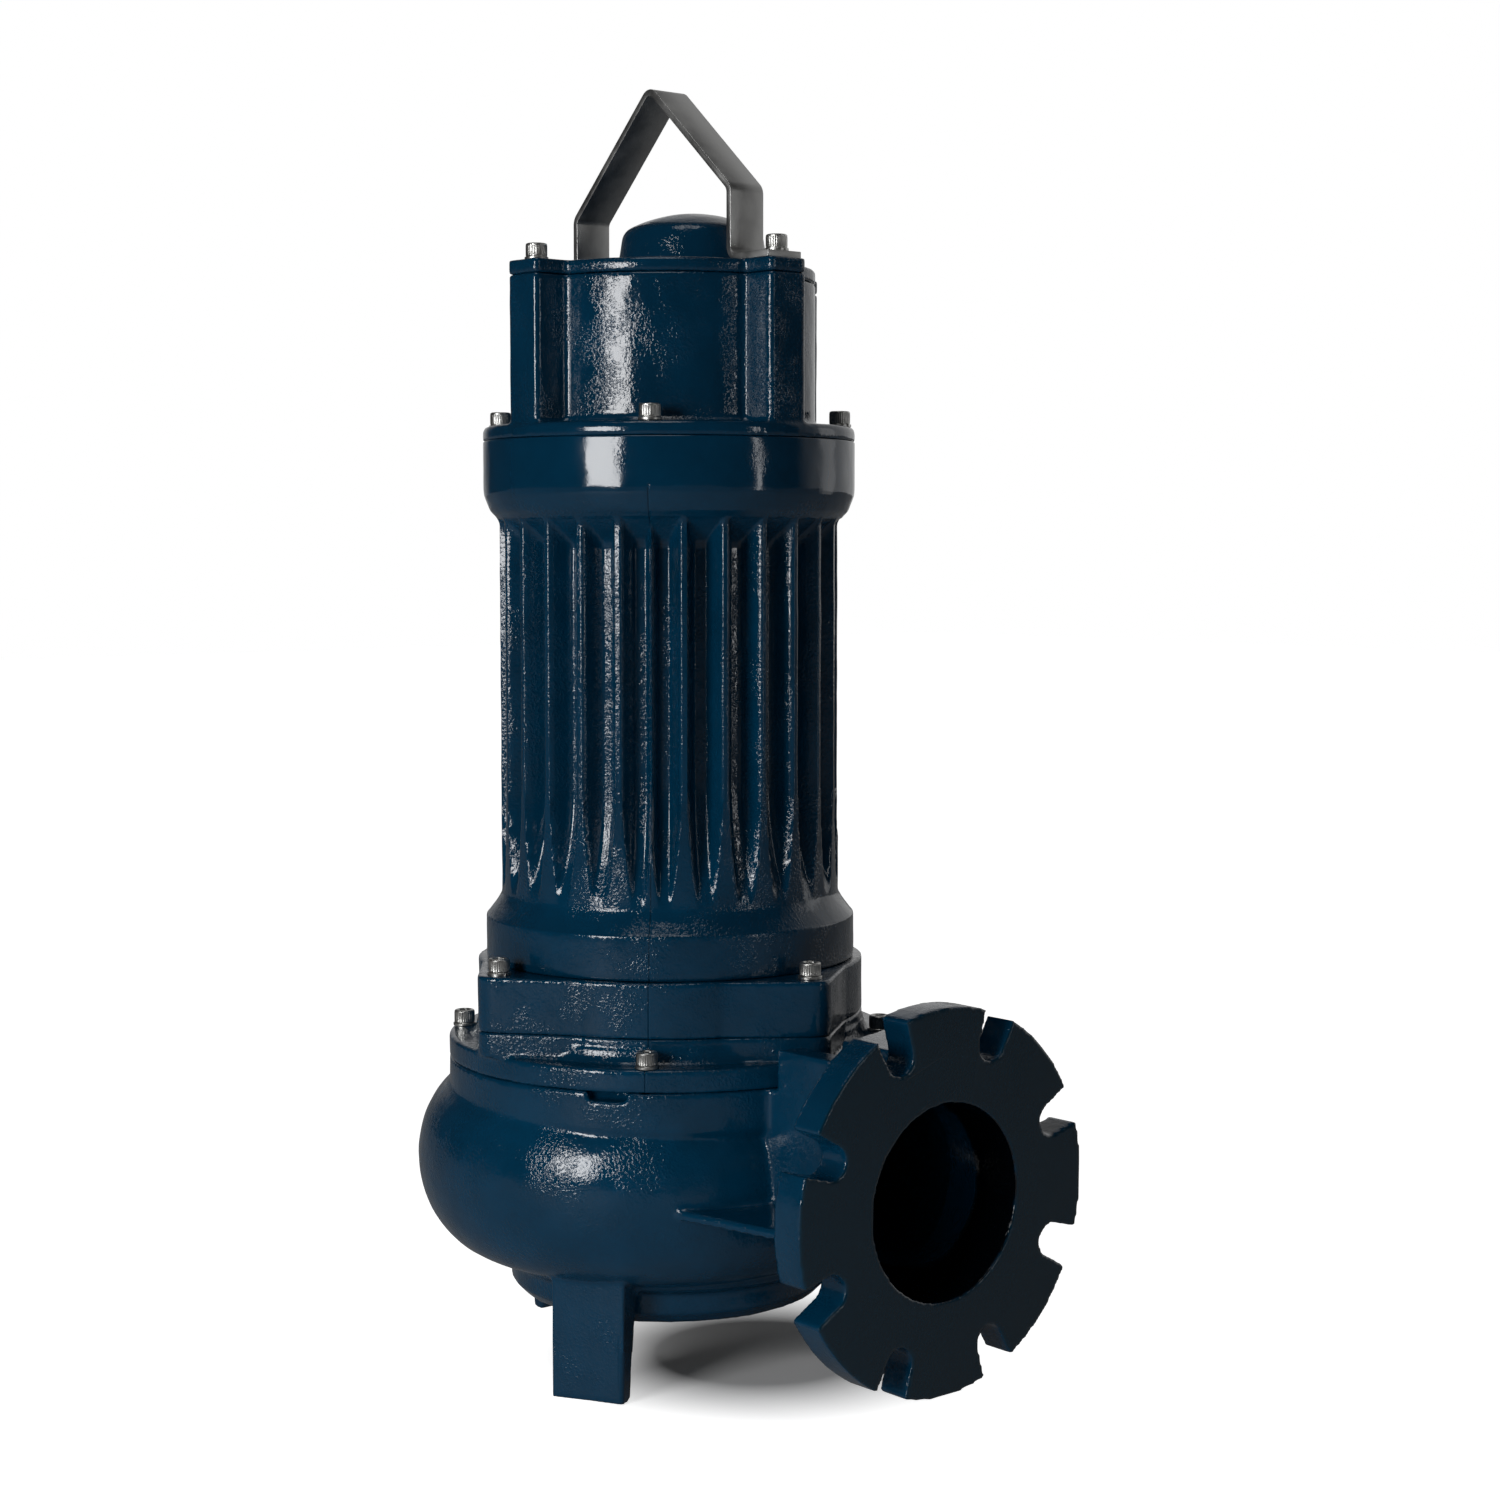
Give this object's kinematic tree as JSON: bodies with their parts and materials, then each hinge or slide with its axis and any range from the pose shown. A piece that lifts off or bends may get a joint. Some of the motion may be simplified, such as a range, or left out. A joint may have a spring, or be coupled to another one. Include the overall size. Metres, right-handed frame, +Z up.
{
  "type": "submersible sewage pump",
  "caption": "Vertical submersible trash pump: finned motor housing, spiral casing on feet, side discharge flange with open bolt slots, flat strap handle.",
  "frame": {"origin": "centre of the suction mouth, on the motor axis at the underside of the suction ring", "axes": "+Z up the motor axis, +X out of the discharge flange, +Y to the right of the discharge when seen from the flange side"},
  "size_m": [0.4693, 0.4144, 0.973],
  "materials": {
    "paint": "gloss navy blue paint over cast iron",
    "impeller": "as cast",
    "strap": "dull grey steel",
    "screws": "stainless steel",
    "steel": "ground steel",
    "bearing_steel": "polished",
    "seal_rubber": "matt black",
    "carbide": "lapped grey",
    "core": "stacked sheet steel",
    "end_rings": "cast",
    "winding": "varnished copper winding",
    "brass": "turned",
    "board": "moulded",
    "gland": "nickel plated"
  },
  "bodies": {
    "casing": {"volute_casing": "paint", "volute_cover": "paint", "volute_cover_seal": "seal_rubber", "volute_cover_screws": "screws", "volute_cover_washers": "screws", "oil_chamber_housing": "paint", "oil_chamber_seal": "seal_rubber", "oil_chamber_screws": "screws", "oil_chamber_washers": "screws", "oil_plugs": "screws", "oil_plug_seals": "brass", "motor_housing_screws": "screws", "motor_housing_seal": "seal_rubber", "lower_seal_seat": "carbide", "upper_seal_seat": "carbide", "lower_bearing_outer_ring": "bearing_steel", "bearing_circlip": "steel", "upper_bearing_outer_ring": "bearing_steel", "bearing_spring": "steel", "upper_bearing_bracket": "impeller", "bracket_screws": "screws", "stator_core": "core", "stator_windings": "winding", "stator_housing": "paint", "motor_leads": "board", "terminal_housing": "paint", "terminal_housing_seal": "seal_rubber", "terminal_housing_screws": "screws", "terminal_housing_washers": "screws", "terminal_board": "board", "terminal_studs": "brass", "top_lid": "paint", "lid_seal": "seal_rubber", "lid_screws": "screws", "lid_washers": "screws", "lifting_handle": "strap", "cable_gland_body": "gland", "cable_gland_bush": "seal_rubber", "cable_gland_nut": "gland"},
    "rotor": {"shaft": "steel", "shaft_circlip": "steel", "impeller": "impeller", "impeller_key": "steel", "impeller_washer": "steel", "impeller_bolt": "screws", "rotor_core": "core", "rotor_end_rings": "end_rings", "lower_bearing_inner_ring": "bearing_steel", "upper_bearing_inner_ring": "bearing_steel", "lower_seal_ring": "carbide", "seal_spring": "steel", "upper_seal_ring": "carbide"},
    "lower_roller_cage": {"lower_bearing_rollers": "bearing_steel", "lower_bearing_cage": "brass"},
    "upper_roller_cage": {"upper_bearing_rollers": "bearing_steel", "upper_bearing_cage": "brass"}
  },
  "joints": [
    {"name": "rotor_spin", "type": "hinge", "parent": "casing", "child": "rotor", "pos_m": [0, 0, 0.282], "axis": [0, 0, 1], "continuous": true},
    {"name": "lower_cage_orbit", "type": "hinge", "parent": "casing", "child": "lower_roller_cage", "pos_m": [0, 0, 0.2765], "axis": [0, 0, 1], "continuous": true},
    {"name": "upper_cage_orbit", "type": "hinge", "parent": "casing", "child": "upper_roller_cage", "pos_m": [0, 0, 0.5965], "axis": [0, 0, 1], "continuous": true}
  ],
  "couplings": [
    {"joint": "lower_cage_orbit", "follows": "rotor_spin", "ratio": 0.4241},
    {"joint": "upper_cage_orbit", "follows": "rotor_spin", "ratio": 0.4217}
  ]
}
